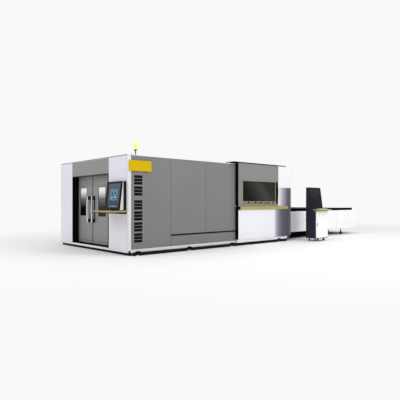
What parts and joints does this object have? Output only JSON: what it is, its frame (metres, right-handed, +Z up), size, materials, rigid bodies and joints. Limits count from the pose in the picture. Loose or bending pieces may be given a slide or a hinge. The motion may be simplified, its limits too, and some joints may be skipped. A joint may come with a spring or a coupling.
{
  "type": "fiber laser cutting machine",
  "caption": "Long enclosed sheet-cutting machine with sliding doors, a side hatch, a swap table with two slatted pallets, a wall console and a free-standing operator kiosk.",
  "frame": {"origin": "on the floor under the middle of the whole machine, kiosk and shelf included", "axes": "+X along the hall towards the exchange table, +Y from the operator side to the far side, +Z up"},
  "size_m": [11.6, 4.79, 2.76],
  "materials": {
    "white_paint": "satin powder coat",
    "grey_paint": "satin powder coat",
    "door_grey": "satin powder coat",
    "bay_grey": "satin powder coat",
    "black_paint": "matt black coat",
    "dark_steel": "painted welded steel",
    "frame_grey": "satin coat",
    "pallet_steel": "bare mild steel",
    "head_alloy": "anodised",
    "handle_silver": "satin silver",
    "dark_glass": "dark tinted laser safety glass",
    "screen_glass": "glossy screen",
    "sign_yellow": "yellow coat",
    "ledge_yellow": "yellow coat",
    "cap_dark": "dark grey coat",
    "lamp_yellow": "translucent yellow",
    "console_black": "black texture",
    "console_navy": "navy black coat",
    "button_red": "red",
    "button_green": "green",
    "button_dark": "dark",
    "key_cream": "cream",
    "caster_black": "black",
    "black_rubber": "black rubber"
  },
  "bodies": {
    "machine": {"base_frame": "dark_steel", "levelling_feet": "black_rubber", "base_rail": "white_paint", "enclosure_frame": "frame_grey", "near_corner_column": "white_paint", "far_corner_column": "white_paint", "door_header": "grey_paint", "door_surround": "black_paint", "side_panels": "grey_paint", "far_side_wall": "grey_paint", "exit_wall": "frame_grey", "roof": "white_paint", "sign_plate": "sign_yellow", "lamp_post": "black_paint", "lamp_lens": "lamp_yellow", "bay_panel": "white_paint", "bay_corner_column": "white_paint", "bay_ledge": "ledge_yellow", "bay_roof_cap": "cap_dark", "exchange_frame": "black_paint", "exchange_covers": "white_paint", "exchange_feet": "black_rubber", "console_housing": "console_black", "console_bezel": "console_navy", "console_screen": "screen_glass", "console_shelf": "ledge_yellow", "kiosk_cabinet": "console_navy", "kiosk_head": "console_navy", "kiosk_screen": "screen_glass", "kiosk_tray": "ledge_yellow", "kiosk_keyboard": "key_cream", "kiosk_mouse": "console_black", "rear_casters": "caster_black"},
    "near_door": {"near_door_leaf": "door_grey", "near_door_glass": "dark_glass", "near_door_handle": "handle_silver"},
    "far_door": {"far_door_leaf": "door_grey", "far_door_glass": "dark_glass", "far_door_handle": "handle_silver"},
    "side_door": {"side_door_leaf": "bay_grey", "side_door_frame": "ledge_yellow", "side_door_glass": "dark_glass", "side_door_handle": "handle_silver"},
    "gantry": {"gantry": "frame_grey"},
    "carriage": {"carriage": "dark_steel"},
    "head": {"cutting_head": "head_alloy"},
    "upper_pallet": {"upper_pallet": "pallet_steel"},
    "lower_pallet": {"lower_pallet": "pallet_steel"},
    "stop_button": {"stop_button": "button_red"},
    "push_button_1": {"push_button_1": "button_dark"},
    "push_button_2": {"push_button_2": "button_green"},
    "push_button_3": {"push_button_3": "button_dark"},
    "kiosk_door": {"kiosk_door": "white_paint"},
    "kiosk_lock": {"kiosk_lock": "handle_silver"},
    "front_left_caster": {"front_left_caster": "caster_black"},
    "front_left_wheel": {"front_left_wheel": "black_rubber"},
    "front_right_caster": {"front_right_caster": "caster_black"},
    "front_right_wheel": {"front_right_wheel": "black_rubber"},
    "rear_left_wheel": {"rear_left_wheel": "black_rubber"},
    "rear_right_wheel": {"rear_right_wheel": "black_rubber"}
  },
  "joints": [
    {"name": "near_door_slide", "type": "slide", "parent": "machine", "child": "near_door", "axis": [0, -1, 0], "range_m": [0, 0.59]},
    {"name": "far_door_slide", "type": "slide", "parent": "machine", "child": "far_door", "axis": [0, 1, 0], "range_m": [0, 0.59]},
    {"name": "side_door_slide", "type": "slide", "parent": "machine", "child": "side_door", "axis": [-1, 0, 0], "range_m": [0, 0.95]},
    {"name": "gantry_drive", "type": "slide", "parent": "machine", "child": "gantry", "axis": [1, 0, 0], "range_m": [0, 4.1]},
    {"name": "carriage_drive", "type": "slide", "parent": "gantry", "child": "carriage", "axis": [0, 1, 0], "range_m": [-1.3, 1.3]},
    {"name": "head_lift", "type": "slide", "parent": "carriage", "child": "head", "axis": [0, 0, -1], "range_m": [0, 0.3]},
    {"name": "upper_pallet_drive", "type": "slide", "parent": "machine", "child": "upper_pallet", "axis": [-1, 0, 0], "range_m": [0, 5.3]},
    {"name": "lower_pallet_drive", "type": "slide", "parent": "machine", "child": "lower_pallet", "axis": [1, 0, 0], "range_m": [0, 5.3]},
    {"name": "stop_button_press", "type": "slide", "parent": "machine", "child": "stop_button", "axis": [0.9925, 0, -0.1223], "range_m": [0, 0.006], "stiffness_N_per_m": 900, "springref_m": -0.002},
    {"name": "push_button_1_press", "type": "slide", "parent": "machine", "child": "push_button_1", "axis": [0.9925, 0, -0.1223], "range_m": [0, 0.006], "stiffness_N_per_m": 900, "springref_m": -0.002},
    {"name": "push_button_2_press", "type": "slide", "parent": "machine", "child": "push_button_2", "axis": [0.9925, 0, -0.1223], "range_m": [0, 0.006], "stiffness_N_per_m": 900, "springref_m": -0.002},
    {"name": "push_button_3_press", "type": "slide", "parent": "machine", "child": "push_button_3", "axis": [0.9925, 0, -0.1223], "range_m": [0, 0.006], "stiffness_N_per_m": 900, "springref_m": -0.002},
    {"name": "kiosk_door_hinge", "type": "hinge", "parent": "machine", "child": "kiosk_door", "pos_m": [1.875, -2.235, 0.54], "axis": [0, 0, 1], "range_deg": [0, 110]},
    {"name": "kiosk_lock_turn", "type": "hinge", "parent": "kiosk_door", "child": "kiosk_lock", "pos_m": [1.27, -2.245, 0.55], "axis": [0, 1, 0], "range_deg": [0, 90]},
    {"name": "front_left_swivel", "type": "hinge", "parent": "machine", "child": "front_left_caster", "pos_m": [1.3, -2.155, 0.08], "axis": [0, 0, 1], "continuous": true},
    {"name": "front_left_roll", "type": "hinge", "parent": "front_left_caster", "child": "front_left_wheel", "pos_m": [1.3, -2.135, 0.036], "axis": [1, 0, 0], "continuous": true},
    {"name": "front_right_swivel", "type": "hinge", "parent": "machine", "child": "front_right_caster", "pos_m": [1.8, -2.155, 0.08], "axis": [0, 0, 1], "continuous": true},
    {"name": "front_right_roll", "type": "hinge", "parent": "front_right_caster", "child": "front_right_wheel", "pos_m": [1.8, -2.135, 0.036], "axis": [1, 0, 0], "continuous": true},
    {"name": "rear_left_roll", "type": "hinge", "parent": "machine", "child": "rear_left_wheel", "pos_m": [1.3, -1.915, 0.036], "axis": [1, 0, 0], "continuous": true},
    {"name": "rear_right_roll", "type": "hinge", "parent": "machine", "child": "rear_right_wheel", "pos_m": [1.8, -1.915, 0.036], "axis": [1, 0, 0], "continuous": true}
  ],
  "couplings": [
    {"joint": "lower_pallet_drive", "follows": "upper_pallet_drive", "ratio": 1}
  ]
}
